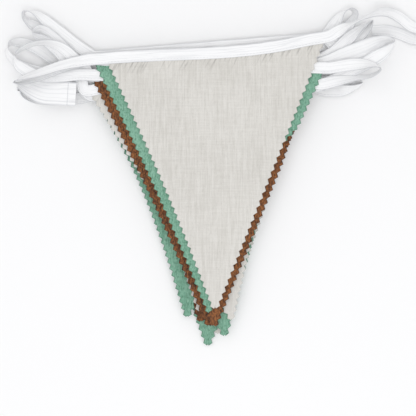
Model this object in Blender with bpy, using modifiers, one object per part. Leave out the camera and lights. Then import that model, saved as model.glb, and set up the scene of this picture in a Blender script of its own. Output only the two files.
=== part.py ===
"""Fabric bunting, folded away: eleven pinked cotton pennants on one length of bias tape.

The string lies face up in a concertina stack. Each pennant rests a little off the one below,
so that the coloured edges fan out, and the tape between two pennants makes a loop at the side.
Units are metres, +Z is up, and the origin is below the middle of the bunting, on the surface
that it lies on. Lengths in the tables are millimetres.
"""
import math

import bmesh
import bpy
from mathutils import Vector

MM = 0.001

# Pennants: pinked triangles of plain cotton
CLOTH_THICKNESS = 1.0 * MM
TEETH_PER_SIDE = 37
TOOTH_DEPTH = 2.3 * MM
TIP_CUT = 0.022             # share of the height that the flat tip takes off
TIP_NOTCH = 1.6 * MM        # depth of the notch between the two points of the tip
TOP_PENNANT_COLUMNS = 6     # the uppermost pennant bends across its width too
SAG_SKEW = 1.5              # the head sags most at this power of one half of its width
SAG_REACH = 0.25            # share of the height over which the sag fades
DRAW_START = 0.20           # shares of the height at which a side is drawn in
DRAW_RUN = 0.12

# Tape: one folded length of bias binding
TAPE_THICKNESS = 1.0 * MM
TAPE_WIDTH = 10.0 * MM
TAPE_RISE = 0.05 * MM       # keeps the tape's bends off the resting surface
SEAM_GAP = 0.5 * MM         # between a pennant's head and the tape above it
PASS_STOPS = (-0.03, 0.05, 0.2, 0.35, 0.5, 0.65, 0.8, 0.95, 1.03)
STATION_SPACING = 4.5 * MM
PASS_SPACING = 16.0 * MM

# Stack: how the layers lie on one another
LAYER_PITCH = 1.4 * MM
STACK_LEFT = -0.112         # beyond these two lines the layers of tape open out
STACK_RIGHT = 0.094
OPENING_LEFT = 0.085        # distance over which the pitch doubles
OPENING_RIGHT = 0.075
SWELL = 0.10 * MM           # soft unevenness that each layer adds
SWELL_LENGTH = 0.135
LEAN_LENGTH = 0.190

CREAM = ("cream cotton", (0.74, 0.71, 0.66), 0.92)
GREEN = ("mint green cotton", (0.22, 0.52, 0.37), 0.92)
BROWN = ("brown cotton", (0.22, 0.062, 0.011), 0.92)
WHITE = ("white bias tape", (0.90, 0.91, 0.93), 0.85)

# One row for each pennant, from the top of the stack to the bottom:
# name, cloth, x and y of the left corner, the right corner and the tip, then how far the
# head sags between its corners, how far the left side curves in half way down, and how far
# the right side is drawn in below its corner
PENNANTS = (
    ("flag_01_cream", CREAM, -91, 96, 91, 114, -1, -116, 5.0, 3.0, 0.0),
    ("flag_02_green", GREEN, -102, 95, 90, 88, -5, -120, 0.0, 3.0, 8.0),
    ("flag_03_brown", BROWN, -99, 82, 80, 75, -2, -131, 0.0, 3.0, -1.5),
    ("flag_04_brown", BROWN, -104, 82, 80, 73, -6, -131, 0.0, 3.0, 0.0),
    ("flag_05_cream", CREAM, -106, 70, 68, 90, 15, -126, 0.0, 0.0, 5.0),
    ("flag_06_green", GREEN, -101, 66, 69, 90, 8, -140, 0.0, 3.0, 0.0),
    ("flag_07_cream", CREAM, -95, 99, 89, 114, -14, -119, 0.0, 3.0, 0.0),
    ("flag_08_green", GREEN, -107, 81, 66, 97, -25, -124, 0.0, 7.0, 0.0),
    ("flag_09_brown", BROWN, -100, 75, 71, 88, -13, -128, 0.0, 3.0, 0.0),
    ("flag_10_green", GREEN, -103, 69, 76, 75, -7, -149, 0.0, 6.0, 0.0),
    ("flag_11_cream", CREAM, -102, 66, 78, 80, 3, -139, 0.0, 3.0, 0.0),
)

# The tape's free stretches, in the order in which the tape runs. Each row is one place on it:
# x, y, turn (0 is the layer it comes from, 1 the layer it goes to), roll in degrees
# (90 stands on edge, 180 lies flat again, turned over), width and extra lift
RIGHT_TAIL = (
    (134, 127, 0.0, 0, 9, 0.0),
    (147, 127, 0.0, 0, 10, 0.0),
    (159, 124, 0.0, 0, 10, 0.0),
    (171, 119, 0.0, -15, 10, 0.0),
    (181, 117, 0.0, -60, 10, 0.0),
    (187, 121, 0.05, -90, 10, 0.0),
    (182, 126, 0.1, -120, 10, 0.0),
    (169, 129, 0.15, -170, 10, 0.0),
    (155, 137, 0.45, -172, 10, 0.0),
    (141, 139, 0.85, -150, 10, 1.5),
    (127, 135, 1.0, -112, 10, 0.0),
    (114, 129, 1.0, -112, 10, 0.0),
    (103, 124, 1.0, -180, 10, 0.0),
)
LOOPS = (
    # left, from pennant 1 to 2: the slender loop in front
    (
        (-109, 100, 0.0, 0, 10, 0.0),
        (-130, 95, 0.0, 20, 9, 0.0),
        (-149, 88, 0.0, 38, 9, 0.0),
        (-163, 83, 0.2, 65, 9, 0.0),
        (-169, 80, 0.5, 90, 9, 0.0),
        (-164, 79, 0.8, 115, 9, 0.0),
        (-149, 85, 1.0, 150, 9, 0.0),
        (-131, 93, 1.0, 172, 9, 0.0),
        (-117, 98, 1.0, 180, 10, 0.0),
    ),
    # right, from 2 to 3: low rounded loop
    (
        (101, 94, 0.0, 0, 10, 0.0),
        (117, 96, 0.0, -5, 10, 0.0),
        (131, 95, 0.2, -50, 10, 0.0),
        (138, 91, 0.5, -90, 10, 0.0),
        (131, 86, 0.8, -112, 9, 0.0),
        (117, 84, 1.0, -125, 9, 0.0),
        (101, 82, 1.0, -165, 10, 0.0),
        (90, 80, 1.0, -180, 10, 0.0),
    ),
    # left, from 3 to 4: the big open loop that stands on edge
    (
        (-116, 88, 0.0, 0, 10, 0.0),
        (-134, 86, 0.0, 0, 10, 0.0),
        (-152, 87, 0.0, 0, 10, 0.0),
        (-164, 93, 0.2, -12, 10, 0.0),
        (-169, 102, 0.5, -80, 10, 0.0),
        (-161, 110, 0.8, -100, 10, 0.0),
        (-146, 114, 1.0, -108, 10, 0.6),
        (-132, 111, 1.0, -140, 10, 1.2),
        (-120, 101, 1.0, -180, 10, 0.6),
        (-111, 93, 1.0, -180, 10, 0.2),
    ),
    # right, from 4 to 5: the broad face that turns back
    (
        (101, 84, 0.0, 0, 10, 0.0),
        (117, 92, 0.0, 5, 11, 0.0),
        (134, 101, 0.0, 15, 12, 0.0),
        (146, 109, 0.2, 60, 12, 0.0),
        (150, 114, 0.5, 90, 11, 0.0),
        (143, 116, 0.8, 120, 13, 0.0),
        (128, 110, 1.0, 172, 16, 0.0),
        (110, 104, 1.0, 180, 15, 0.0),
        (89, 98, 1.0, 180, 10, 0.0),
    ),
    # left, from 5 to 6: the middle loop of the upper fan
    (
        (-115, 85, 0.0, 0, 10, 0.0),
        (-125, 96, 0.0, 0, 10, 0.0),
        (-134, 108, 0.0, -5, 10, 0.0),
        (-146, 117, 0.2, -45, 10, 0.0),
        (-155, 122, 0.5, -90, 10, 0.0),
        (-149, 126, 0.8, -130, 10, 0.0),
        (-137, 118, 1.0, -174, 10, 0.0),
        (-122, 101, 1.0, -180, 10, 0.0),
        (-115, 80, 1.0, -180, 10, 0.0),
    ),
    # right, from 6 to 7: the upper fan, its end on edge
    (
        (80, 98, 0.0, 0, 10, 0.0),
        (98, 106, 0.0, 0, 10, 0.0),
        (113, 119, 0.0, -4, 10, 0.0),
        (125, 129, 0.2, -65, 9, 0.0),
        (132, 133, 0.5, -90, 9, 0.0),
        (129, 127, 0.8, -130, 9, 0.0),
        (118, 118, 1.0, -178, 10, 0.0),
        (101, 114, 1.0, -180, 10, 0.0),
    ),
    # left, from 7 to 8: the highest loop of the upper fan
    (
        (-106, 105, 0.0, 0, 10, 0.0),
        (-121, 115, 0.0, 0, 10, 0.0),
        (-140, 130, 0.0, 4, 10, 0.0),
        (-155, 141, 0.2, 65, 10, 0.0),
        (-163, 141, 0.5, 90, 10, 0.0),
        (-162, 135, 0.8, 115, 10, 0.0),
        (-151, 127, 1.0, 172, 10, 0.0),
        (-134, 111, 1.0, 180, 10, 0.0),
        (-118, 94, 1.0, 180, 10, 0.0),
    ),
    # right, from 8 to 9: the small arc at the back
    (
        (78, 104, 0.0, 0, 10, 0.0),
        (91, 118, 0.0, 0, 10, 0.0),
        (101, 131, 0.0, -10, 10, 0.0),
        (108, 141, 0.2, -70, 10, 0.0),
        (115, 144, 0.5, -90, 10, 0.0),
        (119, 140, 0.8, -110, 10, 0.0),
        (111, 127, 1.0, -170, 10, 0.0),
        (98, 112, 1.0, -180, 10, 0.0),
        (85, 98, 1.0, -180, 10, 0.0),
    ),
    # left, from 9 to 10: the loop that reaches farthest
    (
        (-116, 84, 0.0, 0, 10, 0.0),
        (-136, 88, 0.0, 0, 10, 0.0),
        (-156, 92, 0.0, -10, 10, 0.0),
        (-171, 99, 0.2, -45, 10, 0.0),
        (-178, 108, 0.5, -60, 10, 0.0),
        (-174, 116, 0.8, -110, 10, 0.0),
        (-157, 113, 1.0, -170, 10, 0.0),
        (-135, 98, 1.0, -180, 10, 0.0),
        (-116, 79, 1.0, -180, 10, 0.0),
    ),
    # right, from 10 to 11: the lowest loop, flat on the surface
    (
        (90, 76, 0.0, 0, 10, 0.0),
        (104, 75, 0.0, 4, 10, 0.0),
        (117, 77, 0.2, 60, 9, 0.0),
        (125, 81, 0.5, 90, 9, 0.0),
        (118, 84, 0.8, 120, 9, 0.0),
        (104, 83, 1.0, 175, 10, 0.0),
        (90, 84, 1.0, 180, 10, 0.0),
    ),
)
LEFT_TAIL = (
    (-116, 69, 0.0, 0, 10, 0.0),
    (-134, 69, 0.0, 0, 12, 0.0),
    (-150, 70, 0.0, 5, 13, 0.0),
    (-162, 72, 0.0, 45, 13, 0.0),
    (-168, 77, 0.0, 90, 13, 1.5),
    (-166, 80, 0.0, 118, 15, 4.0),
    (-158, 77, 0.0, 150, 18, 7.5),
    (-147, 73, 0.0, 172, 20, 10.0),
    (-134, 72, 0.0, 180, 20, 12.2),
    (-119, 71, 0.0, 180, 20, 12.2),
)


def opening(x):
    """How far the layers have opened out at x: 1 between the pennants' corners, more beyond."""
    if x < STACK_LEFT:
        return 1.0 + (STACK_LEFT - x) / OPENING_LEFT
    if x > STACK_RIGHT:
        return 1.0 + (x - STACK_RIGHT) / OPENING_RIGHT
    return 1.0


def layer_height(level, x, y):
    """Height of a layer's middle. Level 0 lies flat, and each level above adds some swell."""
    swell = 0.5 + 0.35 * math.sin(math.tau * y / SWELL_LENGTH + 0.6)
    swell += 1.4 * x * math.sin(math.tau * y / LEAN_LENGTH + 2.0)
    return CLOTH_THICKNESS / 2 + level * (LAYER_PITCH * opening(x) + SWELL * swell)


def make_material(cloth):
    """Principled material for one of the cloths."""
    name, colour, roughness = cloth
    material = bpy.data.materials.get(name) or bpy.data.materials.new(name)
    material.use_nodes = True
    shader = material.node_tree.nodes["Principled BSDF"]
    shader.inputs["Base Color"].default_value = (*colour, 1.0)
    shader.inputs["Roughness"].default_value = roughness
    shader.inputs["Metallic"].default_value = 0.0
    material.diffuse_color = (*colour, 1.0)
    return material


def make_sheet(name, mesh_data, thickness, cloth, collection):
    """Turns an open surface into an object of the given thickness."""
    mesh = bpy.data.meshes.new(name)
    mesh_data.normal_update()
    mesh_data.to_mesh(mesh)
    mesh_data.free()
    sheet = bpy.data.objects.new(name, mesh)
    collection.objects.link(sheet)
    mesh.materials.append(make_material(cloth))
    solidify = sheet.modifiers.new("Thickness", 'SOLIDIFY')
    solidify.thickness = thickness
    solidify.offset = 0.0
    return sheet


def split_row(row):
    """Name, cloth, corners, then sag, curve and draw of a pennant, its sizes in metres."""
    name, cloth, *sizes = row
    corners = [Vector(sizes[index:index + 2]) * MM for index in (0, 2, 4)]
    return name, cloth, corners, [size * MM for size in sizes[6:]]


def head_sag(sag, across, down):
    """How far a pennant hangs below the straight line between its corners."""
    return sag * math.sin(math.pi * across ** SAG_SKEW) * max(0.0, 1.0 - down / SAG_REACH) ** 2


def drawn_in(draw, down):
    """How far the right side is drawn in: nothing at the corner, most a third of the way down."""
    share = min(1.0, max(0.0, (down - DRAW_START) / DRAW_RUN))
    return draw * share * share * (3 - 2 * share) * (1.0 - 0.7 * down)


def pennant_point(corners, across, down):
    """Point of a pennant: across from 0 at left to 1 at right, down from 0 at the head."""
    left, right, tip = corners
    head = left.lerp(right, 0.5)
    return left.lerp(right, across) + (tip - head) * down


def pennant_rows(corners, curve, draw):
    """Left and right edge points, tooth by tooth, from the head down to the cut tip."""
    left, right, tip = corners
    steps = 2 * TEETH_PER_SIDE
    left_out = Vector((-(left - tip).y, (left - tip).x)).normalized()
    right_out = Vector(((right - tip).y, -(right - tip).x)).normalized()
    rows = []
    for step in range(steps + 1):
        down = step / steps * (1.0 - TIP_CUT)
        reach = TOOTH_DEPTH * (0.5 if step % 2 else -0.5) if step else 0.0
        start = pennant_point(corners, 0.5 * down, down)
        start += left_out * (reach - curve * math.sin(math.pi * down))
        end = pennant_point(corners, 1.0 - 0.5 * down, down)
        end += right_out * (reach - drawn_in(draw, down))
        rows.append((down, start, end))
    return rows


def make_pennant(row, level, columns, collection):
    """One pinked pennant as a thin sheet that follows its layer."""
    name, cloth, corners, (sag, curve, draw) = split_row(row)
    surface = bmesh.new()
    lines = []
    for down, start, end in pennant_rows(corners, curve, draw):
        line = []
        for column in range(columns + 1):
            across = column / columns
            place = start.lerp(end, across)
            place.y -= head_sag(sag, across, down)
            line.append(surface.verts.new((*place, layer_height(level, *place))))
        lines.append(line)
    for upper, lower in zip(lines[:-2], lines[1:-1]):
        for column in range(columns):
            surface.faces.new((upper[column], lower[column], lower[column + 1], upper[column + 1]))
    tip_left, tip_right = lines[-1][0], lines[-1][-1]
    middle = (tip_left.co + tip_right.co) / 2
    axis = (lines[-3][0].co + lines[-3][-1].co) / 2 - middle
    notch = surface.verts.new(middle + axis.normalized() * TIP_NOTCH)
    surface.faces.new((lines[-2][0], tip_left, notch, tip_right, *lines[-2][:0:-1]))
    for spare in lines[-1][1:-1]:
        surface.verts.remove(spare)
    return make_sheet(name, surface, CLOTH_THICKNESS, cloth, collection)


def pass_stops(row, level, leftward, turned):
    """Places of the tape along one pennant's head."""
    _, _, (left, right, _), (sag, _, _) = split_row(row)
    along = (right - left).normalized()
    up = Vector((-along.y, along.x))
    offset = up * (TAPE_WIDTH / 2 + SEAM_GAP)
    stops = []
    for share in PASS_STOPS:
        place = left.lerp(right, share) + offset
        place.y -= head_sag(sag, min(1.0, max(0.0, share)), 0.0)
        stops.append((place.x, place.y, level, turned, TAPE_WIDTH, 0.0))
    return stops[::-1] if leftward else stops


def free_stops(rows, level_from, level_to, turned):
    """Places of the tape along a loop or a tail, in metres, levels and radians."""
    stops = []
    for x, y, turn, roll, width, lift in rows:
        level = level_from + (level_to - level_from) * turn
        stops.append((x * MM, y * MM, level, turned + math.radians(roll), width * MM, lift * MM))
    return stops


def tape_stops():
    """Every place of the tape, from its right tail to its left tail."""
    top = len(PENNANTS) - 1
    stops = free_stops(RIGHT_TAIL, 0, top, 0.0)
    for number, row in enumerate(PENNANTS):
        level = top - number
        stops += pass_stops(row, level, number % 2 == 0, stops[-1][3])
        if number < len(LOOPS):
            stops += free_stops(LOOPS[number], level, level - 1, stops[-1][3])
    return stops + free_stops(LEFT_TAIL, 0, 0, stops[-1][3])


def blend(before, start, end, after, share):
    """Cubic between two stops, with slopes taken from their neighbours by distance."""
    span = math.dist(start[:2], end[:2])
    span_before = math.dist(before[:2], start[:2])
    span_after = math.dist(end[:2], after[:2])
    rise = 2 * share ** 3 - 3 * share ** 2 + 1
    values = []
    for a, b, c, d in zip(before, start, end, after):
        slope_start = (c - a) / (span_before + span) * span
        slope_end = (d - b) / (span + span_after) * span
        value = rise * b + (1 - rise) * c
        value += (share ** 3 - 2 * share ** 2 + share) * slope_start
        value += (share ** 3 - share ** 2) * slope_end
        values.append(value)
    return values


def tape_stations(stops):
    """Closely spaced places along the tape, each with its middle, roll and width."""
    ends = [[2 * a - b for a, b in zip(stops[0], stops[1])]]
    tail = [[2 * a - b for a, b in zip(stops[-1], stops[-2])]]
    padded = ends + [list(stop) for stop in stops] + tail
    stations = []
    for index in range(1, len(padded) - 2):
        before, start, end, after = padded[index - 1:index + 3]
        straight = start[3] == end[3]
        spacing = PASS_SPACING if straight else STATION_SPACING
        count = max(1, round(math.dist(start[:2], end[:2]) / spacing))
        for step in range(count):
            stations.append(blend(before, start, end, after, step / count))
    stations.append(list(stops[-1]))
    return stations


def make_tape(collection):
    """The whole tape as one ribbon, from free end to free end."""
    middles = []
    shapes = []
    for x, y, level, roll, width, lift in tape_stations(tape_stops()):
        stand = width / 2 * abs(math.sin(roll)) + TAPE_RISE
        middles.append(Vector((x, y, layer_height(level, x, y) + stand + lift)))
        shapes.append((roll, width))
    surface = bmesh.new()
    lines = []
    last = len(middles) - 1
    for index, (middle, (roll, width)) in enumerate(zip(middles, shapes)):
        along = (middles[min(index + 1, last)] - middles[max(index - 1, 0)]).normalized()
        level_side = Vector((-along.y, along.x, 0.0)).normalized()
        rising = along.cross(level_side)
        side = level_side * math.cos(roll) + rising * math.sin(roll)
        lines.append([surface.verts.new(middle + side * width * share) for share in (0.5, -0.5)])
    for near, far in zip(lines[:-1], lines[1:]):
        surface.faces.new((near[0], near[1], far[1], far[0]))
    return make_sheet("tape", surface, TAPE_THICKNESS, WHITE, collection)


def centre_on_origin(objects):
    """Moves everything so that the origin is below the middle, on the resting surface."""
    bpy.context.view_layer.update()
    depsgraph = bpy.context.evaluated_depsgraph_get()
    points = []
    for item in objects:
        evaluated = item.evaluated_get(depsgraph)
        points += [item.matrix_world @ vertex.co for vertex in evaluated.data.vertices]
    lowest = [min(point[axis] for point in points) for axis in range(3)]
    highest = [max(point[axis] for point in points) for axis in range(3)]
    shift = Vector(((lowest[0] + highest[0]) / 2, (lowest[1] + highest[1]) / 2, lowest[2]))
    for item in objects:
        item.location -= shift
    bpy.context.view_layer.update()


def main():
    for item in list(bpy.data.objects):
        bpy.data.objects.remove(item)
    collection = bpy.data.collections.new("fabric bunting")
    bpy.context.scene.collection.children.link(collection)
    top = len(PENNANTS) - 1
    pieces = []
    for number, row in enumerate(PENNANTS):
        columns = TOP_PENNANT_COLUMNS if number == 0 else 1
        pieces.append(make_pennant(row, top - number, columns, collection))
    pieces.append(make_tape(collection))
    centre_on_origin(pieces)


main()
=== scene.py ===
import math

import bmesh
import bpy
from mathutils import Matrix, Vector, noise


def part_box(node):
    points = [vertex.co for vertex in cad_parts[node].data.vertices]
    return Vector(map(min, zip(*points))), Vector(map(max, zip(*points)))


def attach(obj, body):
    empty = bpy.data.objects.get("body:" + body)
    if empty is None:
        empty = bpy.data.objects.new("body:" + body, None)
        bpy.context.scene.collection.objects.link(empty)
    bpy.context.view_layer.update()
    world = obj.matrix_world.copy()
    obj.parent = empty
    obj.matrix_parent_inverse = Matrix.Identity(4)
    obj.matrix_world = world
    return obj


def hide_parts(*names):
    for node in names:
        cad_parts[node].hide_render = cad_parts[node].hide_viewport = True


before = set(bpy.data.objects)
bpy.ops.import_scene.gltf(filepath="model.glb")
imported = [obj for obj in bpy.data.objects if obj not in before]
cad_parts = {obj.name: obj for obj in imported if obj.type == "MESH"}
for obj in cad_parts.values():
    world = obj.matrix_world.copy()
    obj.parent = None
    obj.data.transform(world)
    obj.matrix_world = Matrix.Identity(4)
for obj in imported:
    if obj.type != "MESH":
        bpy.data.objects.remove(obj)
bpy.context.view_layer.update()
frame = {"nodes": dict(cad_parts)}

mm = 0.001
print("frame loaded:", len(frame["nodes"]), "nodes")


# Socket maths: expressions on node sockets add the nodes they need

class Sock:
    def __init__(self, tree, socket):
        self.tree = tree
        self.socket = socket

    def math(self, operation, other=None, swapped=False):
        values = [self] if other is None else [self, other]
        if swapped:
            values = values[::-1]
        return self.tree.add("ShaderNodeMath", {"operation": operation}, dict(enumerate(values)))

    def __add__(self, other):
        return self.math("ADD", other)

    def __radd__(self, other):
        return self.math("ADD", other)

    def __sub__(self, other):
        return self.math("SUBTRACT", other)

    def __rsub__(self, other):
        return self.math("SUBTRACT", other, swapped=True)

    def __mul__(self, other):
        return self.math("MULTIPLY", other)

    def __rmul__(self, other):
        return self.math("MULTIPLY", other)

    def __truediv__(self, other):
        return self.math("DIVIDE", other)


class Shader:
    def __init__(self, name, roughness):
        self.material = bpy.data.materials.new(name)
        self.material.use_nodes = True
        self.nodes = self.material.node_tree.nodes
        self.links = self.material.node_tree.links
        self.principled = self.nodes["Principled BSDF"]
        self.principled.inputs["Roughness"].default_value = roughness

    def add(self, kind, settings=None, inputs=None, output=0):
        node = self.nodes.new(kind)
        for key, value in (settings or {}).items():
            setattr(node, key, value)
        for key, value in (inputs or {}).items():
            if isinstance(value, Sock):
                self.links.new(value.socket, node.inputs[key])
            else:
                node.inputs[key].default_value = value
        return Sock(self, node.outputs[output])

    def mixColour(self, share, first, second):
        return self.add("ShaderNodeMix", {"data_type": "RGBA"}, {0: share, 6: first, 7: second}, 2)

    def split(self, vector, output=0):  # one part of a vector: 0, 1 or 2
        return self.add("ShaderNodeSeparateXYZ", None, {0: vector}, output)

    def grain(self, place, scale, detail):  # noise stretched by a scale for each direction
        stretched = self.add("ShaderNodeMapping", None, {0: place, 3: scale})
        return self.add("ShaderNodeTexNoise", None, {"Vector": stretched, "Scale": 1.0, "Detail": detail})

    def patches(self, place, settings):  # slow, cloudy changes
        inputs = {"Vector": place, "Scale": settings["patchScale"], "Detail": 3.0}
        return self.add("ShaderNodeTexNoise", None, {**inputs, "Roughness": settings["patchRoughness"]})

    def feed(self, name, value):
        self.links.new(value.socket, self.principled.inputs[name])

    def feedBump(self, height, settings):
        inputs = {"Strength": settings["bumpStrength"], "Distance": settings["threadBump"], "Height": height}
        self.feed("Normal", self.add("ShaderNodeBump", None, inputs))


# Materials: plain-weave cotton and smooth bias binding

weave = {
    "roughness": 0.92, "sheen": 0.25, "sheenRoughness": 0.6,
    "threadPitch": 0.42 * mm, "threadBump": 0.12 * mm, "bumpStrength": 0.35,
    "slubs": (900.0, 60.0, 100.0), "crossSlubs": (60.0, 900.0, 100.0),  # thicker threads, both ways
    "slubShare": 0.55, "crossShare": 0.25, "patchShare": 0.2, "slubRelief": 0.8,
    "patchScale": 22.0, "patchRoughness": 0.55,
    "evenLevel": 0.38, "contrast": 4.2,  # how the unevenness spreads from dark to light
    "flecks": (900.0, 480.0, 300.0), "darkBelow": 0.47, "paleAbove": 0.53,
    "gapShade": 0.35, "deepShade": 0.55,  # painted shade between the threads, and the darkest tone as a share
    "rimWidth": 0.9,  # in millimetres from a cut edge
    # puckers under the seam: painted shade in their creases, and their bump
    "gatherDepth": 11.0, "gatherLean": 0.55, "gatherFine": 420.0, "gatherLong": 50.0,
    "gatherStart": 0.48, "gatherGain": 7.0, "gatherShade": 0.5, "gatherRelief": 6.0,
}
binding = {
    "roughness": 0.78, "sheen": 0.15,
    "threadPitch": 0.34 * mm, "threadBump": 0.12 * mm, "bumpStrength": 0.35,
    "patchScale": 60.0, "patchRoughness": 0.6, "patchShare": 0.7, "gapShade": 0.2, "patchRelief": 1.2,
    "rimStart": 0.84, "rimShade": 0.9,  # share of the half width at which the edge turns dark with painted shade, where it rounds away
    "seamPlace": 0.16, "seamSpread": 0.035, "seamShade": 0.8,  # across from the open edge, with painted shade along the stitched line
    "creaseScale": (4.0, 11.0, 1.0), "creaseSpread": 0.035, "creaseShade": 0.42,  # painted shade in pressed-in folds
    "creaseRelief": 2.5,
    "hemPlace": 7.0 * mm, "hemSpread": 0.5 * mm,  # a line of painted shade at the turned hem's edge, this far from the tape's left free end
    # the colour of the painted shade lines
    "shadeLineColour": (0.66, 0.67, 0.69, 1),
}


def clip(value):  # between 0 and 1
    return value.math("MINIMUM", 1.0).math("MAXIMUM", 0.0)


def ridge(value, middle, spread):  # 1 on a line, falling to 0 at its spread
    return 1.0 - ((value - middle).math("ABSOLUTE") / spread).math("MINIMUM", 1.0)


def threads(shader, place, pitch):  # a plain weave: 0 in the gaps, 1 on the crown of a thread
    across = shader.split(place, 0) * (math.pi / pitch)
    down = shader.split(place, 1) * (math.pi / pitch)
    warp = across.math("SINE").math("ABSOLUTE")
    weft = down.math("SINE").math("ABSOLUTE")
    crossing = (across * 0.5).math("SINE") * (down * 0.5).math("SINE")
    over = crossing.math("GREATER_THAN", 0.0)
    return warp * over + weft * (1 - over)


def gathers(shader, place, fromSeam):  # leaning creases under the seam, which fade on the way down: the mask for their painted shade and their bump
    fade = (1.0 - fromSeam / weave["gatherDepth"]).math("MAXIMUM", 0.0)
    rising = shader.split(place, 1)
    leaning = (shader.split(place, 0) - rising * weave["gatherLean"]) * weave["gatherFine"]
    lines = shader.add("ShaderNodeCombineXYZ", None, {0: leaning, 1: rising * weave["gatherLong"]})
    gather = shader.add("ShaderNodeTexNoise", None, {"Vector": lines, "Scale": 1.0, "Detail": 1.0})
    return clip((weave["gatherStart"] - gather) * weave["gatherGain"]) * fade


def clothMaterial(name, colour, shade, light, fleck, rimShade):
    shader = Shader(name, weave["roughness"])
    shader.principled.inputs["Sheen Weight"].default_value = weave["sheen"]
    shader.principled.inputs["Sheen Roughness"].default_value = weave["sheenRoughness"]
    place = shader.add("ShaderNodeTexCoord", None, None, 3)
    flat = shader.add("ShaderNodeTexCoord", None, None, 2)
    crown = threads(shader, place, weave["threadPitch"])
    slub = shader.grain(place, weave["slubs"], 2.0)
    cross = shader.grain(place, weave["crossSlubs"], 2.0)
    patch = shader.patches(place, weave)
    uneven = slub * weave["slubShare"] + cross * weave["crossShare"] + patch * weave["patchShare"]
    spread = clip((uneven - weave["evenLevel"]) * weave["contrast"])
    base = shader.mixColour(0.5, shader.mixColour(spread, (*shade, 1), (*light, 1)), (*colour, 1))
    speck = shader.grain(place, weave["flecks"], 2.0)
    pale = clip((speck - weave["paleAbove"]) * fleck)
    # dark flecks in the weave, with painted shade in the gaps between the threads
    dark = ((weave["darkBelow"] - speck) * fleck).math("MAXIMUM", 0.0) + (1 - crown) * weave["gapShade"]
    # a darker rim at each cut edge: partly its loose thread ends, partly painted shade under the edge
    rim = 1.0 - (shader.split(flat, 0) / weave["rimWidth"]).math("MINIMUM", 1.0)
    # painted shade in the creases of the puckers under the seam
    crease = gathers(shader, place, shader.split(flat, 1))
    dark = (dark + rim * rimShade + crease * weave["gatherShade"]).math("MINIMUM", 1.0)
    deepest = (*[weave["deepShade"] * value for value in shade], 1)
    shader.feed("Base Color", shader.mixColour(dark, shader.mixColour(pale, base, (*light, 1)), deepest))
    height = crown + slub * weave["slubRelief"] + cross * weave["slubRelief"] - crease * weave["gatherRelief"]
    shader.feedBump(height, weave)
    return shader.material


def tapeMaterial(name, colour, shade, edged=False):
    shader = Shader(name, binding["roughness"])
    shader.principled.inputs["Sheen Weight"].default_value = binding["sheen"]
    place = shader.add("ShaderNodeTexCoord", None, None, 3)
    crown = threads(shader, place, binding["threadPitch"])
    patch = shader.patches(place, binding)
    # random cloudy tone, with painted shade in the gaps between the threads
    tone = (patch * binding["patchShare"] + (1 - crown) * binding["gapShade"]).math("MINIMUM", 1.0)
    base = shader.mixColour(tone, (*colour, 1), (*shade, 1))
    height = crown + patch * binding["patchRelief"]
    if edged:  # painted shade: the binding is a little darker where its edges round away, in its folds, along its seam and at the hem's edge
        flat = shader.add("ShaderNodeTexCoord", None, None, 2)
        across = shader.split(flat, 0)
        rim = (across - 0.5).math("ABSOLUTE") * 2.0 - binding["rimStart"]
        rim = (rim / (1.0 - binding["rimStart"])).math("MAXIMUM", 0.0)
        seam = ridge(across, binding["seamPlace"], binding["seamSpread"])
        fold = ridge(shader.grain(flat, binding["creaseScale"], 2.0), 0.5, binding["creaseSpread"])
        hem = ridge(shader.split(flat, 1), binding["hemPlace"], binding["hemSpread"])
        # painted shade lines: rounding edges, seam, folds and the hem's edge
        lines = rim * binding["rimShade"] + seam * binding["seamShade"] + fold * binding["creaseShade"] + hem
        base = shader.mixColour(lines.math("MINIMUM", 1.0), base, binding["shadeLineColour"])
        height = height - fold * binding["creaseRelief"]
    shader.feed("Base Color", base)
    shader.feedBump(height, binding)
    return shader.material


cottons = {  # for each slot: name, colour, its darker and paler tones, strength of the flecks and of the cut rim, which is darker partly from thread ends and partly from painted shade
    "cream_cotton": ("creamCotton", (0.70, 0.68, 0.635),
                     (0.58, 0.56, 0.52), (0.82, 0.80, 0.765), 0.5, 0.15),
    "green_cotton": ("mintCotton", (0.185, 0.405, 0.285),
                     (0.115, 0.295, 0.195), (0.33, 0.565, 0.435), 3.4, 0.75),
    "brown_cotton": ("brownCotton", (0.155, 0.046, 0.009),
                     (0.055, 0.016, 0.004), (0.42, 0.155, 0.038), 5.0, 0.8),
}
cloths = {slot: clothMaterial(*values) for slot, values in cottons.items()}
cloths["white_tape"] = tapeMaterial("whiteBinding", (0.95, 0.95, 0.955), (0.88, 0.885, 0.895), True)
threadMaterial = tapeMaterial("whiteThread", (0.93, 0.93, 0.94), (0.84, 0.85, 0.88))
print("materials ready:", len(cloths) + 1)


# Stack: how high each layer lies, in the same terms as the solids

stack = {
    "middle": 0.5 * mm,  # height of the lowest layer's middle
    "pitch": 1.4 * mm,
    "left": -112 * mm, "right": 94 * mm,  # beyond these the layers of tape open out
    "openLeft": 85 * mm, "openRight": 75 * mm,
    "swell": 0.10 * mm, "swellLength": 135 * mm, "swellPhase": 0.6,  # slow waves along the pennants
    "lean": 1.4, "leanLength": 190 * mm, "leanPhase": 2.0,
}


def opening(x):
    if x < stack["left"]:
        return 1.0 + (stack["left"] - x) / stack["openLeft"]
    if x > stack["right"]:
        return 1.0 + (x - stack["right"]) / stack["openRight"]
    return 1.0


def layerHeight(level, x, y):
    swell = 0.5 + 0.35 * math.sin(math.tau * y / stack["swellLength"] + stack["swellPhase"])
    swell += stack["lean"] * x * math.sin(math.tau * y / stack["leanLength"] + stack["leanPhase"])
    return stack["middle"] + level * (stack["pitch"] * opening(x) + stack["swell"] * swell)


def ripple(x, y, z, size):  # smooth noise, about -1 to 1
    return noise.noise(Vector((x / size, y / size, z)))


# Pennants, from the top of the stack down: left corner, right corner and tip in millimetres,
# then how far the head sags, the left side curves in and the right side is drawn in

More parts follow.
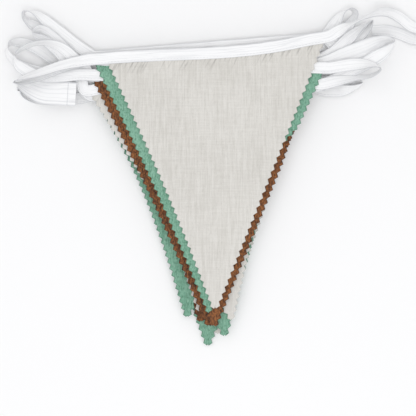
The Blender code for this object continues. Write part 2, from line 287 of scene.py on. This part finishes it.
pennants = (
    ("flag_01_cream", "cream_cotton", -91, 96, 91, 114, -1, -116, 5.0, 3.0, 0.0),
    ("flag_02_green", "green_cotton", -102, 95, 90, 88, -5, -120, 0.0, 3.0, 8.0),
    ("flag_03_brown", "brown_cotton", -99, 82, 80, 75, -2, -131, 0.0, 3.0, -1.5),
    ("flag_04_brown", "brown_cotton", -104, 82, 80, 73, -6, -131, 0.0, 3.0, 0.0),
    ("flag_05_cream", "cream_cotton", -106, 70, 68, 90, 15, -126, 0.0, 0.0, 5.0),
    ("flag_06_green", "green_cotton", -101, 66, 69, 90, 8, -140, 0.0, 3.0, 0.0),
    ("flag_07_cream", "cream_cotton", -95, 99, 89, 114, -14, -119, 0.0, 3.0, 0.0),
    ("flag_08_green", "green_cotton", -107, 81, 66, 97, -25, -124, 0.0, 7.0, 0.0),
    ("flag_09_brown", "brown_cotton", -100, 75, 71, 88, -13, -128, 0.0, 3.0, 0.0),
    ("flag_10_green", "green_cotton", -103, 69, 76, 75, -7, -149, 0.0, 6.0, 0.0),
    ("flag_11_cream", "cream_cotton", -102, 66, 78, 80, 3, -139, 0.0, 3.0, 0.0),
)
cut = {
    "teeth": 37, "toothDepth": 2.3 * mm, "tipCut": 0.022, "tipNotch": 1.6 * mm,
    "thickness": 0.36 * mm, "seamAllowance": 7.0 * mm,
    "columns": 36, "topColumns": 144, "rowsPerTooth": 2,  # the top pennant shows fine puckers
    "gather": 1.2 * mm, "gatherReach": 13 * mm, "gatherLean": 0.45,  # puckers just under the seam
    "gatherWide": 5.5 * mm, "gatherFine": 2.6 * mm, "gatherUnder": 0.1,  # under the top one they are slight
    "gatherRamp": 45.0, "liftRamp": 6.0,  # how soon puckers and lift start below the seam
    "layerWave": 0.16 * mm, "waveWide": 28 * mm, "waveFine": 9 * mm,
    "topWave": 0.9 * mm, "topWaveWide": 50 * mm, "topRib": 0.45 * mm, "topRibWide": 22 * mm,
    "length": 210 * mm,  # about a pennant's height, for how soon its puckers fade
    "sharpAngle": 50,  # degrees between faces that don't shade into each other
    "sagSkew": 1.5, "sagReach": 0.25,  # where the head sags most, and how soon that fades
    "drawStart": 0.20, "drawRun": 0.12,  # where the drawn side comes in
}
topLevel = len(pennants) - 1


def corners(row):
    return [Vector(row[index:index + 2]) * mm for index in (2, 4, 6)]


def headSag(row, across, down):
    across = max(0.0, min(1.0, across))
    fade = max(0.0, 1.0 - down / cut["sagReach"]) ** 2
    return row[8] * mm * math.sin(math.pi * across ** cut["sagSkew"]) * fade


def edgePair(row, down):  # left and right edge of a pennant, with its pinked teeth
    left, right, tip = corners(row)
    share = min(1.0, max(0.0, (down - cut["drawStart"]) / cut["drawRun"]))
    drawn = row[10] * mm * share * share * (3 - 2 * share) * (1.0 - 0.7 * down)
    axis = tip - left.lerp(right, 0.5)
    leftOut = Vector((-(left - tip).y, (left - tip).x)).normalized()
    rightOut = Vector(((right - tip).y, -(right - tip).x)).normalized()
    tooth = down / (1.0 - cut["tipCut"]) * cut["teeth"]
    swing = 1.0 - abs(2.0 * (tooth - math.floor(tooth)) - 1.0)
    reach = cut["toothDepth"] * (swing - 0.5) if down > 0 else 0.0
    curved = row[9] * mm * math.sin(math.pi * down)
    start = left.lerp(right, 0.5 * down) + axis * down + leftOut * (reach - curved)
    end = left.lerp(right, 1.0 - 0.5 * down) + axis * down + rightOut * (reach - drawn)
    return start, end


def outlineCorner():  # the lowest pennant's own corner, against its box, gives the frame's offset
    row = pennants[-1]
    steps = 2 * cut["teeth"]
    pairs = [edgePair(row, step / steps * (1.0 - cut["tipCut"])) for step in range(steps + 1)]
    return Vector((min(pair[0].x for pair in pairs), max(pair[1].y for pair in pairs)))


lowBox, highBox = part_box("flag_11_cream")
drawn = outlineCorner()
offset = Vector((drawn.x - lowBox[0], drawn.y - highBox[1]))
print("frame offset in mm:", [round(value / mm, 3) for value in offset])


def clothHeight(level, place, down):
    x, y = place
    height = layerHeight(level, x, y)
    seed = 3.7 * level
    height += cut["layerWave"] * ripple(x, y, seed, cut["waveWide"])
    height += 0.6 * cut["layerWave"] * ripple(x, y, seed + 9, cut["waveFine"])
    if level == topLevel:  # the pennant on top is free to rise a little
        lift = 0.5 + 0.5 * ripple(x * 2.2, y, 21.0, cut["topWaveWide"])
        height += cut["topWave"] * lift * min(1.0, down * cut["liftRamp"])
        height += cut["topRib"] * ripple(x * 3.0, y * 0.5, 4.0, cut["topRibWide"])
    fall = math.exp(-down * cut["length"] / cut["gatherReach"])
    lean = x + cut["gatherLean"] * y
    pucker = ripple(lean, 0.002, 31.4 + level, cut["gatherWide"])
    pucker += 0.6 * ripple(lean, 0.001, 47.4 + level, cut["gatherFine"])
    free = 1.0 if level == topLevel else cut["gatherUnder"]
    return height + free * cut["gather"] * fall * pucker * min(1.0, down * cut["gatherRamp"])


def joinLines(mesh, lines, downs):  # faces, with millimetres from the nearer cut side and down from the seam
    inset = mesh.loops.layers.uv.new("inset")
    columns = len(lines[0]) - 1
    reach = [min(column, columns - column) / columns for column in range(columns + 1)]
    for upper, lower, high, low in zip(lines[:-1], lines[1:], downs[:-1], downs[1:]):
        width = (upper[-1].co - upper[0].co).length / mm
        for column in range(columns):
            face = mesh.faces.new((upper[column], lower[column], lower[column + 1], upper[column + 1]))
            places = ((column, high), (column, low), (column + 1, low), (column + 1, high))
            for loop, (place, down) in zip(face.loops, places):
                loop[inset].uv = (reach[place] * width, down)


def makePennant(row, level):
    name, slot = row[:2]
    left, right, tip = corners(row)
    up = Vector((-(right - left).y, (right - left).x)).normalized()
    columns = cut["topColumns"] if level == topLevel else cut["columns"]
    mesh = bmesh.new()
    lines = []
    hidden = [up * cut["seamAllowance"] * share for share in (1.0, 0.66, 0.33)]  # held inside the tape
    for shift in hidden:
        line = []
        for column in range(columns + 1):
            across = column / columns
            place = left.lerp(right, across) + shift
            place.y -= headSag(row, across, 0.0)
            line.append(mesh.verts.new((*place, layerHeight(level, *place))))
        lines.append(line)
    steps = 2 * cut["teeth"] * cut["rowsPerTooth"]
    for step in range(steps + 1):
        down = step / steps * (1.0 - cut["tipCut"])
        start, end = edgePair(row, down)
        line = []
        for column in range(columns + 1):
            across = column / columns
            place = start.lerp(end, across)
            place.y -= headSag(row, across, down)
            line.append(mesh.verts.new((*place, clothHeight(level, place, down))))
        lines.append(line)
    notch = (tip - left.lerp(right, 0.5)).normalized() * -cut["tipNotch"]
    for column, vertex in enumerate(lines[-1]):
        share = column / columns
        pull = 1.0 - abs(2.0 * share - 1.0)
        vertex.co.x += notch.x * pull
        vertex.co.y += notch.y * pull
    length = (tip - left.lerp(right, 0.5)).length
    downs = [0.0] * len(hidden) + [step / steps * length / mm for step in range(steps + 1)]
    joinLines(mesh, lines, downs)
    for vertex in mesh.verts:
        vertex.co.x -= offset.x
        vertex.co.y -= offset.y
    piece = finishSheet(name.replace("flag", "pennant"), mesh, cut["thickness"], cloths[slot])
    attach(piece, "root")
    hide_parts(name)


def finishSheet(name, mesh, thickness, material):
    mesh.normal_update()
    data = bpy.data.meshes.new(name)
    mesh.to_mesh(data)
    mesh.free()
    piece = bpy.data.objects.new(name, data)
    bpy.context.scene.collection.objects.link(piece)
    data.materials.append(material)
    data.shade_smooth()
    if thickness:
        solidify = piece.modifiers.new("thickness", 'SOLIDIFY')
        solidify.thickness = thickness
        solidify.offset = 0.0
        bpy.context.view_layer.objects.active = piece
        with bpy.context.temp_override(object=piece, active_object=piece):
            bpy.ops.object.modifier_apply(modifier="thickness")
    piece.data.set_sharp_from_angle(angle=math.radians(cut["sharpAngle"]))
    return piece


for number, row in enumerate(pennants):
    makePennant(row, topLevel - number)
print("pennants cut:", len(pennants))


# Tape: one folded binding, from its right free end to its left one
# Each row: x, y, turn, roll, width and lift, as in the solids

rightTail = (
    (134, 127, 0.0, 0, 9, 0.0),
    (147, 127, 0.0, 0, 10, 0.0),
    (159, 124, 0.0, 0, 10, 0.0),
    (171, 119, 0.0, -15, 10, 0.0),
    (181, 117, 0.0, -60, 10, 0.0),
    (187, 121, 0.05, -90, 10, 0.0),
    (182, 126, 0.1, -120, 10, 0.0),
    (169, 129, 0.15, -170, 10, 0.0),
    (155, 137, 0.45, -172, 10, 0.0),
    (141, 139, 0.85, -150, 10, 1.5),
    (127, 135, 1.0, -112, 10, 0.0),
    (114, 129, 1.0, -112, 10, 0.0),
    (103, 124, 1.0, -180, 10, 0.0),
)
loops = (
    (  # left, from pennant 1 to 2: the slender loop in front
        (-109, 100, 0.0, 0, 10, 0.0),
        (-130, 95, 0.0, 20, 9, 0.0),
        (-149, 88, 0.0, 38, 9, 0.0),
        (-163, 83, 0.2, 65, 9, 0.0),
        (-169, 80, 0.5, 90, 9, 0.0),
        (-164, 79, 0.8, 115, 9, 0.0),
        (-149, 85, 1.0, 150, 9, 0.0),
        (-131, 93, 1.0, 172, 9, 0.0),
        (-117, 98, 1.0, 180, 10, 0.0),
    ),
    (  # right, from 2 to 3: low rounded loop
        (101, 94, 0.0, 0, 10, 0.0),
        (117, 96, 0.0, -5, 10, 0.0),
        (131, 95, 0.2, -50, 10, 0.0),
        (138, 91, 0.5, -90, 10, 0.0),
        (131, 86, 0.8, -112, 9, 0.0),
        (117, 84, 1.0, -125, 9, 0.0),
        (101, 82, 1.0, -165, 10, 0.0),
        (90, 80, 1.0, -180, 10, 0.0),
    ),
    (  # left, from 3 to 4: the big open loop that stands on edge
        (-116, 88, 0.0, 0, 10, 0.0),
        (-134, 86, 0.0, 0, 10, 0.0),
        (-152, 87, 0.0, 0, 10, 0.0),
        (-164, 93, 0.2, -12, 10, 0.0),
        (-169, 102, 0.5, -80, 10, 0.0),
        (-161, 110, 0.8, -100, 10, 0.0),
        (-146, 114, 1.0, -108, 10, 0.6),
        (-132, 111, 1.0, -140, 10, 1.2),
        (-120, 101, 1.0, -180, 10, 0.6),
        (-111, 93, 1.0, -180, 10, 0.2),
    ),
    (  # right, from 4 to 5: the broad face that turns back
        (101, 84, 0.0, 0, 10, 0.0),
        (117, 92, 0.0, 5, 11, 0.0),
        (134, 101, 0.0, 15, 12, 0.0),
        (146, 109, 0.2, 60, 12, 0.0),
        (150, 114, 0.5, 90, 11, 0.0),
        (143, 116, 0.8, 120, 13, 0.0),
        (128, 110, 1.0, 172, 16, 0.0),
        (110, 104, 1.0, 180, 15, 0.0),
        (89, 98, 1.0, 180, 10, 0.0),
    ),
    (  # left, from 5 to 6: the middle loop of the upper fan
        (-115, 85, 0.0, 0, 10, 0.0),
        (-125, 96, 0.0, 0, 10, 0.0),
        (-134, 108, 0.0, -5, 10, 0.0),
        (-146, 117, 0.2, -45, 10, 0.0),
        (-155, 122, 0.5, -90, 10, 0.0),
        (-149, 126, 0.8, -130, 10, 0.0),
        (-137, 118, 1.0, -174, 10, 0.0),
        (-122, 101, 1.0, -180, 10, 0.0),
        (-115, 80, 1.0, -180, 10, 0.0),
    ),
    (  # right, from 6 to 7: the upper fan, its end on edge
        (80, 98, 0.0, 0, 10, 0.0),
        (98, 106, 0.0, 0, 10, 0.0),
        (113, 119, 0.0, -4, 10, 0.0),
        (125, 129, 0.2, -65, 9, 0.0),
        (132, 133, 0.5, -90, 9, 0.0),
        (129, 127, 0.8, -130, 9, 0.0),
        (118, 118, 1.0, -178, 10, 0.0),
        (101, 114, 1.0, -180, 10, 0.0),
    ),
    (  # left, from 7 to 8: the highest loop of the upper fan
        (-106, 105, 0.0, 0, 10, 0.0),
        (-121, 115, 0.0, 0, 10, 0.0),
        (-140, 130, 0.0, 4, 10, 0.0),
        (-155, 141, 0.2, 65, 10, 0.0),
        (-163, 141, 0.5, 90, 10, 0.0),
        (-162, 135, 0.8, 115, 10, 0.0),
        (-151, 127, 1.0, 172, 10, 0.0),
        (-134, 111, 1.0, 180, 10, 0.0),
        (-118, 94, 1.0, 180, 10, 0.0),
    ),
    (  # right, from 8 to 9: the small arc at the back
        (78, 104, 0.0, 0, 10, 0.0),
        (91, 118, 0.0, 0, 10, 0.0),
        (101, 131, 0.0, -10, 10, 0.0),
        (108, 141, 0.2, -70, 10, 0.0),
        (115, 144, 0.5, -90, 10, 0.0),
        (119, 140, 0.8, -110, 10, 0.0),
        (111, 127, 1.0, -170, 10, 0.0),
        (98, 112, 1.0, -180, 10, 0.0),
        (85, 98, 1.0, -180, 10, 0.0),
    ),
    (  # left, from 9 to 10: the loop that reaches farthest
        (-116, 84, 0.0, 0, 10, 0.0),
        (-136, 88, 0.0, 0, 10, 0.0),
        (-156, 92, 0.0, -10, 10, 0.0),
        (-171, 99, 0.2, -45, 10, 0.0),
        (-178, 108, 0.5, -60, 10, 0.0),
        (-174, 116, 0.8, -110, 10, 0.0),
        (-157, 113, 1.0, -170, 10, 0.0),
        (-135, 98, 1.0, -180, 10, 0.0),
        (-116, 79, 1.0, -180, 10, 0.0),
    ),
    (  # right, from 10 to 11: the lowest loop, flat on the surface
        (90, 76, 0.0, 0, 10, 0.0),
        (104, 75, 0.0, 4, 10, 0.0),
        (117, 77, 0.2, 60, 9, 0.0),
        (125, 81, 0.5, 90, 9, 0.0),
        (118, 84, 0.8, 120, 9, 0.0),
        (104, 83, 1.0, 175, 10, 0.0),
        (90, 84, 1.0, 180, 10, 0.0),
    ),
)
leftTail = (
    (-116, 69, 0.0, 0, 10, 0.0),
    (-134, 69, 0.0, 0, 12, 0.0),
    (-150, 70, 0.0, 5, 13, 0.0),
    (-162, 72, 0.0, 45, 13, 0.0),
    (-168, 77, 0.0, 90, 13, 1.5),
    (-166, 80, 0.0, 118, 15, 4.0),
    (-158, 77, 0.0, 150, 18, 7.5),
    (-147, 73, 0.0, 172, 20, 10.0),
    (-134, 72, 0.0, 180, 20, 12.2),
    (-119, 71, 0.0, 180, 20, 12.2),
)
tape = {
    "width": 10 * mm, "open": 20 * mm,
    "seamGap": 0.5 * mm, "rise": 0.05 * mm,
    "passShares": (-0.03, 0.05, 0.2, 0.35, 0.5, 0.65, 0.8, 0.95, 1.03),
    "loopStep": 1.6 * mm, "passStep": 2.6 * mm, "rollStep": 6.0,  # degrees of roll a station, at most
    "cloth": 0.30 * mm,  # one layer of the binding
    "half": 0.50 * mm, "empty": 0.37 * mm,  # half of the folded thickness, round a pennant and empty
    "pucker": 0.10 * mm, "puckerLength": 6 * mm, "edgePucker": 0.4,  # edges wander more than the middle
    "hem": 7.0 * mm, "hemExtra": 0.28 * mm,  # the left free end is turned under
}
stitch = {
    "length": 2.3 * mm, "gap": 0.5 * mm, "radius": 0.16 * mm, "sides": 5,
    "inset": 1.6 * mm, "proud": 0.03 * mm, "start": 2.0 * mm,
    "openEnd": 75 * mm,  # the left tail has come open, so its last stretch isn't stitched
    "hemRow": 1.2 * mm, "hemStart": 1.5 * mm, "hemStop": 1.0 * mm,  # inside the hem and its two ends
}


def freeStops(rows, levelFrom, levelTo, turned):
    stops = []
    for x, y, turn, roll, width, lift in rows:
        level = levelFrom + (levelTo - levelFrom) * turn
        stops.append((x * mm, y * mm, level, turned + math.radians(roll), width * mm, lift * mm, 0.0))
    return stops


def passStops(row, level, leftward, turned):
    left, right = corners(row)[:2]
    along = (right - left).normalized()
    aside = Vector((-along.y, along.x)) * (tape["width"] / 2 + tape["seamGap"])
    stops = []
    for share in tape["passShares"]:
        place = left.lerp(right, share) + aside
        stops.append((place.x, place.y - headSag(row, share, 0.0), level, turned, tape["width"], 0.0, 1.0))
    return stops[::-1] if leftward else stops


def tapeStops():
    stops = freeStops(rightTail, 0, topLevel, 0.0)
    for number, row in enumerate(pennants):
        level = topLevel - number
        stops += passStops(row, level, number % 2 == 0, stops[-1][3])
        if number < len(loops):
            stops += freeStops(loops[number], level, level - 1, stops[-1][3])
    return stops + freeStops(leftTail, 0, 0, stops[-1][3])


def blendStops(before, start, end, after, share):  # a smooth curve through the stops, in every column
    span = math.dist(start[:2], end[:2])
    spanBefore = math.dist(before[:2], start[:2])
    spanAfter = math.dist(end[:2], after[:2])
    rise = 2 * share ** 3 - 3 * share ** 2 + 1
    values = []
    for a, b, c, d in zip(before, start, end, after):
        slopeStart = (c - a) / (spanBefore + span) * span
        slopeEnd = (d - b) / (span + spanAfter) * span
        value = rise * b + (1 - rise) * c
        value += (share ** 3 - 2 * share ** 2 + share) * slopeStart
        value += (share ** 3 - share ** 2) * slopeEnd
        values.append(value)
    return values


def tapeStations():
    stops = [list(stop) for stop in tapeStops()]
    first = [2 * a - b for a, b in zip(stops[0], stops[1])]
    last = [2 * a - b for a, b in zip(stops[-1], stops[-2])]
    padded = [first] + stops + [last]
    stations = []
    for index in range(1, len(padded) - 2):
        before, start, end, after = padded[index - 1:index + 3]
        step = tape["passStep"] if start[3] == end[3] else tape["loopStep"]
        rolled = abs(math.degrees(end[3] - start[3])) / tape["rollStep"]
        count = max(1, round(math.dist(start[:2], end[:2]) / step), round(rolled))
        stations += [blendStops(before, start, end, after, part / count) for part in range(count)]
    return stations + [stops[-1]]


def tapeFrames():  # middle, side, normal, width, length so far and hold on a pennant, at each station
    middles, shapes = [], []
    for x, y, level, roll, width, lift, held in tapeStations():
        stand = width / 2 * abs(math.sin(roll)) + tape["rise"]
        middles.append(Vector((x - offset.x, y - offset.y, layerHeight(level, x, y) + stand + lift)))
        shapes.append((roll, width, max(0.0, min(1.0, held))))
    frames, run = [], 0.0
    final = len(middles) - 1
    for index, (middle, (roll, width, held)) in enumerate(zip(middles, shapes)):
        along = (middles[min(index + 1, final)] - middles[max(index - 1, 0)]).normalized()
        levelSide = Vector((-along.y, along.x, 0.0)).normalized()
        rising = along.cross(levelSide)
        side = levelSide * math.cos(roll) + rising * math.sin(roll)
        if index:
            run += (middle - middles[index - 1]).length
        frames.append((middle, side, along.cross(side), width, run, held))
    return frames


def section(width, held):  # the folded binding: x across from the fold, y through; flatter as it opens
    reach = width / 2
    spread = max(0.0, min(1.0, (width - tape["width"]) / (tape["open"] - tape["width"])))
    gap = (tape["empty"] + (tape["half"] - tape["empty"]) * held) * (1.0 - 0.35 * spread)
    cloth = min(tape["cloth"], 0.8 * gap)
    outer = [(-reach, -gap * 0.9), (-reach * 0.84, -gap), (-reach * 0.68, -gap * 0.86), (-reach * 0.5, -gap)]
    outer += [(0.0, -gap * 1.05), (reach * 0.7, -gap), (reach * 0.93, -gap * 0.8)]
    fold = [(reach, 0.0)]
    front = [(x, -y) for x, y in outer[::-1]]
    slot = [(-reach, gap * 0.9 - cloth), (reach * 0.6, gap - cloth)]  # between the two layers
    slot += [(x, -y) for x, y in slot[::-1]]
    return outer + fold + front + slot


def threadHeight(held):  # how far a stitch lies from the middle of the folded binding
    half = tape["empty"] + (tape["half"] - tape["empty"]) * held
    return half * 0.9 + stitch["proud"]


def addThread(mesh, start, end, bulge):  # one stitch: a short thread that dips at both ends
    along = (end - start).normalized()
    aside = along.cross(bulge).normalized()
    radius, sides = stitch["radius"], stitch["sides"]
    rings = []
    for share, swell, lift in ((0.0, 0.35, -1.6), (0.25, 1.0, 0.2), (0.75, 1.0, 0.2), (1.0, 0.35, -1.6)):
        middle = start.lerp(end, share) + bulge * lift * radius
        ring = []
        for turn in range(sides):
            angle = math.tau * turn / sides
            spoke = aside * math.cos(angle) + bulge * math.sin(angle)
            ring.append(mesh.verts.new(middle + spoke * radius * swell))
        rings.append(ring)
    for near, far in zip(rings[:-1], rings[1:]):
        for index in range(sides):
            other = (index + 1) % sides
            mesh.faces.new((near[index], near[other], far[other], far[index]))
    mesh.faces.new(rings[0][::-1])
    mesh.faces.new(rings[-1])


def frameAt(frames, run, hint):  # the tape's middle, side, normal and width at a length along it
    while hint < len(frames) - 2 and frames[hint + 1][4] < run:
        hint += 1
    near, far = frames[hint], frames[hint + 1]
    share = max(0.0, min(1.0, (run - near[4]) / (far[4] - near[4])))
    mixed = [near[index].lerp(far[index], share) for index in range(3)]
    mixed += [near[index] + (far[index] - near[index]) * share for index in (3, 5)]
    return mixed, hint


def makeStitches(frames):  # one row through the binding, seen on both faces, and one across the hem
    mesh = bmesh.new()
    pitch = stitch["length"] + stitch["gap"]
    stop = frames[-1][4] - stitch["openEnd"]
    hint, run, count = 0, stitch["start"], 0
    while run + stitch["length"] < stop:
        here, hint = frameAt(frames, run, hint)
        normal = here[2].normalized()
        ahead = frameAt(frames, run + stitch["length"], hint)[0]
        for face in (1, -1):
            ends = []
            for place, across, out, wide, held in (here, ahead):
                edge = place - across * (wide / 2 - stitch["inset"])
                ends.append(edge + out * face * threadHeight(held))
            addThread(mesh, ends[0], ends[1], normal * face)
        run += pitch
        count += 2
    hemRun = frames[-1][4] - tape["hem"] + stitch["hemRow"]
    middle, side, normal, width, held = frameAt(frames, hemRun, 0)[0]
    out = normal * -(tape["empty"] * 0.65 + tape["hemExtra"] + stitch["proud"])
    place = -width / 2 + stitch["hemStart"]
    while place + stitch["length"] < width / 2 - stitch["hemStop"]:
        for face in (1, -1):
            start = middle + side * place + out * face
            end = middle + side * (place + stitch["length"]) + out * face
            addThread(mesh, start, end, normal.normalized() * -face)
        place += pitch
        count += 2
    piece = finishSheet("bindingStitches", mesh, 0.0, threadMaterial)
    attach(piece, "root")
    print("stitches:", count)


def makeTape(frames):
    mesh = bmesh.new()
    rings = []
    shares = mesh.loops.layers.uv.new("across")
    for middle, side, normal, width, run, held in frames:
        ring = []
        hemmed = frames[-1][4] - run < tape["hem"]
        for across, through in section(width, held):
            edge = abs(across) / (width / 2)
            if hemmed:
                through += math.copysign(tape["hemExtra"], through)
            wander = tape["pucker"] * ripple(run, across * 2.0, 3.0, tape["puckerLength"])
            wander *= tape["edgePucker"] + edge
            ring.append(mesh.verts.new(middle + side * (across + 1.5 * wander) + normal * (through + wander)))
        rings.append(ring)
    count = len(rings[0])
    acrossShare = [0.5 + across for across, through in section(1.0, 1.0)]
    runs = [frames[-1][4] - frame[4] for frame in frames]
    for near, far, start, stop in zip(rings[:-1], rings[1:], runs[:-1], runs[1:]):
        for index in range(count):
            other = (index + 1) % count
            face = mesh.faces.new((near[index], near[other], far[other], far[index]))
            places = ((index, start), (other, start), (other, stop), (index, stop))
            for loop, (place, run) in zip(face.loops, places):
                loop[shares].uv = (acrossShare[place], run)
    mesh.faces.new(rings[0][::-1])
    mesh.faces.new(rings[-1])
    bmesh.ops.recalc_face_normals(mesh, faces=mesh.faces)
    piece = finishSheet("bindingTape", mesh, 0.0, cloths["white_tape"])
    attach(piece, "root")
    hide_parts("tape")
    print("tape length in metres:", round(frames[-1][4], 3))


tapeRun = tapeFrames()
makeTape(tapeRun)
makeStitches(tapeRun)
print("tape folded and stitched")


# Floor, light and camera

studio = {
    "floorSize": 4.0, "metresPerPixel": 0.85 * mm, "picture": 416, "lens": 100.0, "sensor": 36.0,
    "viewCentre": (-6.8 * mm, -25.5 * mm),  # the picture's middle, in the tables' own terms
    "viewLevel": 12 * mm,  # the height at which a pixel has that size
    "world": 0.81, "worldColour": (0.985, 0.987, 0.995, 1), "floorColour": (0.905, 0.905, 0.908, 1),
}
lights = (  # name, watts, size and place in metres
    ("keyLeft", 2.0, 1.1, (-0.8, 0.5, 1.6)),
    ("fillRight", 2.0, 1.4, (0.8, -0.8, 1.5)),
    ("overhead", 6.8, 0.6, (0.0, -0.4, 1.75)),  # keeps the floor pale right up to the cloth
)


def makeFloor():
    bpy.ops.mesh.primitive_plane_add(size=studio["floorSize"], location=(0, 0, 0))
    floor = bpy.context.object
    floor.name = "paleFloor"
    shader = Shader("paleFloor", 0.9)
    shader.principled.inputs["Base Color"].default_value = studio["floorColour"]
    floor.data.materials.append(shader.material)


def addLight(name, energy, size, place):
    light = bpy.data.lights.new(name, 'AREA')
    light.energy = energy
    light.size = size
    lamp = bpy.data.objects.new(name, light)
    lamp.location = place
    lamp.rotation_euler = (Vector((0, 0, 0)) - Vector(place)).to_track_quat('-Z', 'Y').to_euler()
    bpy.context.scene.collection.objects.link(lamp)


def makeCamera():
    view = bpy.data.cameras.new("overhead")
    view.lens = studio["lens"]
    view.sensor_width = studio["sensor"]
    camera = bpy.data.objects.new("overhead", view)
    height = studio["metresPerPixel"] * studio["picture"] * studio["lens"] / studio["sensor"]
    x, y = studio["viewCentre"]
    camera.location = (x - offset.x, y - offset.y, height + studio["viewLevel"])
    bpy.context.scene.collection.objects.link(camera)
    bpy.context.scene.camera = camera


def makeWorld():
    world = bpy.data.worlds.new("studioWorld")
    world.use_nodes = True
    background = world.node_tree.nodes["Background"]
    background.inputs[0].default_value = studio["worldColour"]
    background.inputs[1].default_value = studio["world"]
    bpy.context.scene.world = world


makeFloor()
for light in lights:
    addLight(*light)
makeWorld()
makeCamera()
bpy.context.scene.view_settings.view_transform = 'Standard'
print("studio ready")
